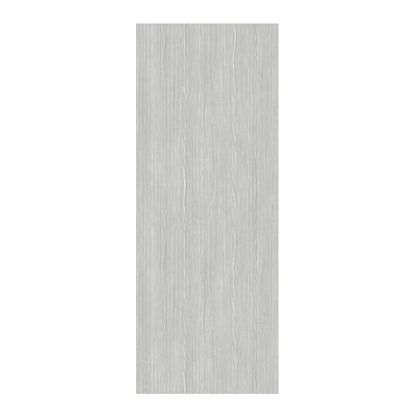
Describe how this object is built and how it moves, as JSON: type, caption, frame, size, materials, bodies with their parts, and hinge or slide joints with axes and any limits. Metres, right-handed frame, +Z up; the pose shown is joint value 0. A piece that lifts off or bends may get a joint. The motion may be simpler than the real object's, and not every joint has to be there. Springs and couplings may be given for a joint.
{
  "type": "fire door leaf",
  "caption": "Flush solid-core fire door leaf faced in light grey vertical woodgrain laminate, with lipped long edges, ready to be hung on hinges in a frame to hold back fire and smoke.",
  "frame": {"origin": "on the hinge edge's face, at the foot of the leaf and at mid-thickness", "axes": "+X from the hinge edge to the lock edge, +Y from the front face to the back face, +Z up"},
  "size_m": [0.762, 0.044, 1.981],
  "materials": {
    "grey_woodgrain_laminate": "matte",
    "hardboard": "matte",
    "hardwood": "matte",
    "softwood": "matte",
    "chipboard": "matte"
  },
  "bodies": {
    "root": {"front_face_laminate": "grey_woodgrain_laminate", "back_face_laminate": "grey_woodgrain_laminate", "hinge_edge_laminate": "grey_woodgrain_laminate", "lock_edge_laminate": "grey_woodgrain_laminate", "front_skin": "hardboard", "back_skin": "hardboard", "hinge_lipping": "hardwood", "lock_lipping": "hardwood", "hinge_stile": "softwood", "lock_stile": "softwood", "top_rail": "softwood", "bottom_rail": "softwood", "core": "chipboard"}
  },
  "joints": []
}
